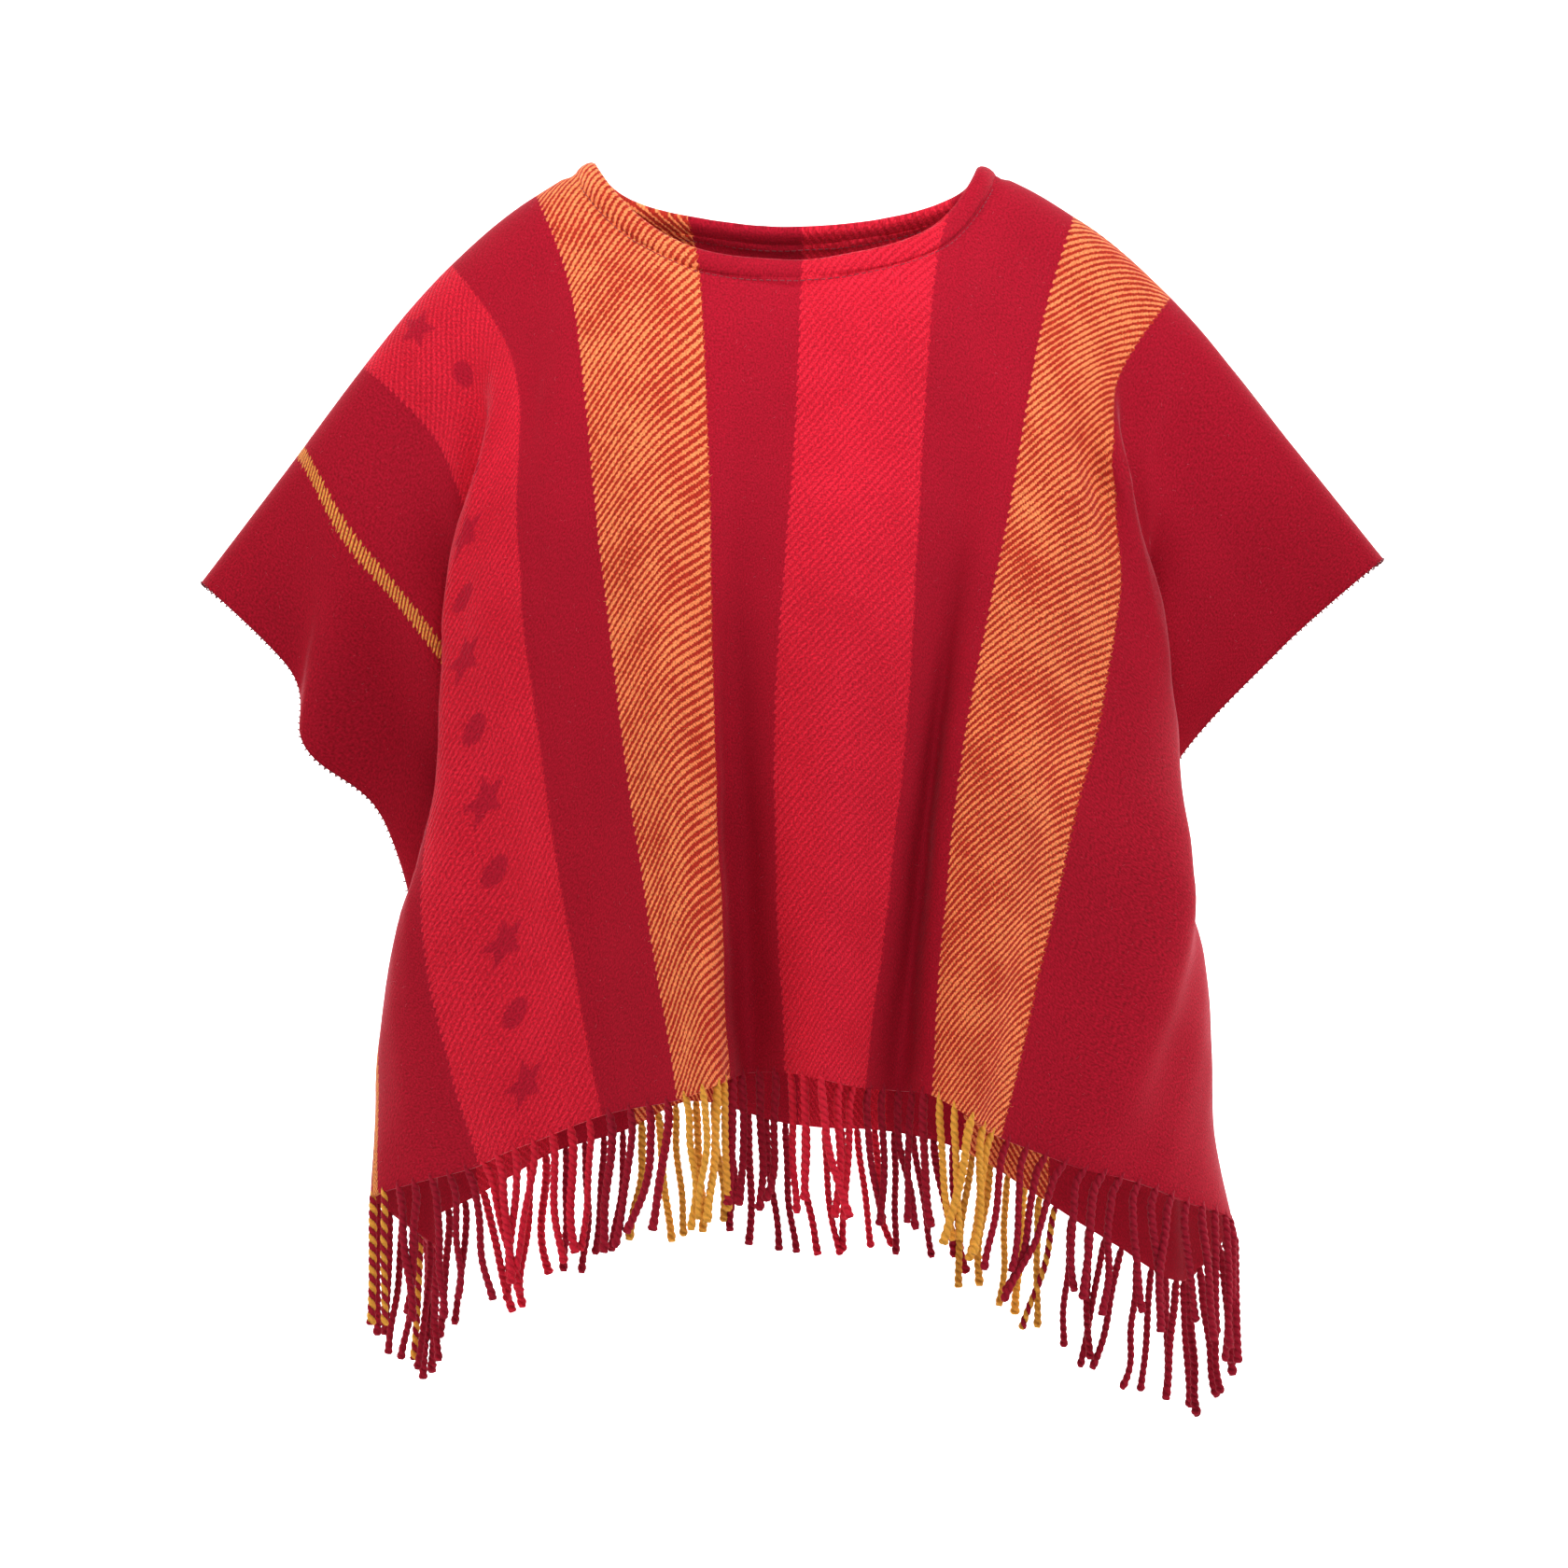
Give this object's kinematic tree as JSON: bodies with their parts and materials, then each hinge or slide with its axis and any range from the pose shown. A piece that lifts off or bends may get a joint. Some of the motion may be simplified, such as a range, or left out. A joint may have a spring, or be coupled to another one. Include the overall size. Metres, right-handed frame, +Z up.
{
  "type": "child's fringed wool poncho, worn open, held at the shoulders",
  "caption": "Short fringed wool poncho with lengthwise stripes, a boat neck, wide open cuffs and closed sides, in its worn hollow form.",
  "frame": {"origin": "between the two shoulder points of the neck, on the shoulder ridge, where the wearer's shoulders hold the poncho", "axes": "+Z up, the front faces -Y, +X is on the right seen from the front"},
  "size_m": [0.631, 0.2892, 0.6812],
  "materials": {
    "crimson_wool": "brushed wool twill, soft nap",
    "red_wool": "brushed wool twill, soft nap",
    "yellow_wool": "twisted wool yarn"
  },
  "bodies": {
    "root": {"front": "crimson_wool", "back": "crimson_wool", "neck_hem": "crimson_wool", "fringe_front_crimson_1": "crimson_wool", "fringe_front_red_star": "red_wool", "fringe_front_crimson_2": "crimson_wool", "fringe_front_yellow_left": "yellow_wool", "fringe_front_crimson_3": "crimson_wool", "fringe_front_red_middle": "red_wool", "fringe_front_crimson_4": "crimson_wool", "fringe_front_yellow_right": "yellow_wool", "fringe_front_crimson_5": "crimson_wool", "fringe_back_crimson_1": "crimson_wool", "fringe_back_red_star": "red_wool", "fringe_back_crimson_2": "crimson_wool", "fringe_back_yellow_left": "yellow_wool", "fringe_back_crimson_3": "crimson_wool", "fringe_back_red_middle": "red_wool", "fringe_back_crimson_4": "crimson_wool", "fringe_back_yellow_right": "yellow_wool", "fringe_back_crimson_5": "crimson_wool"}
  },
  "joints": []
}
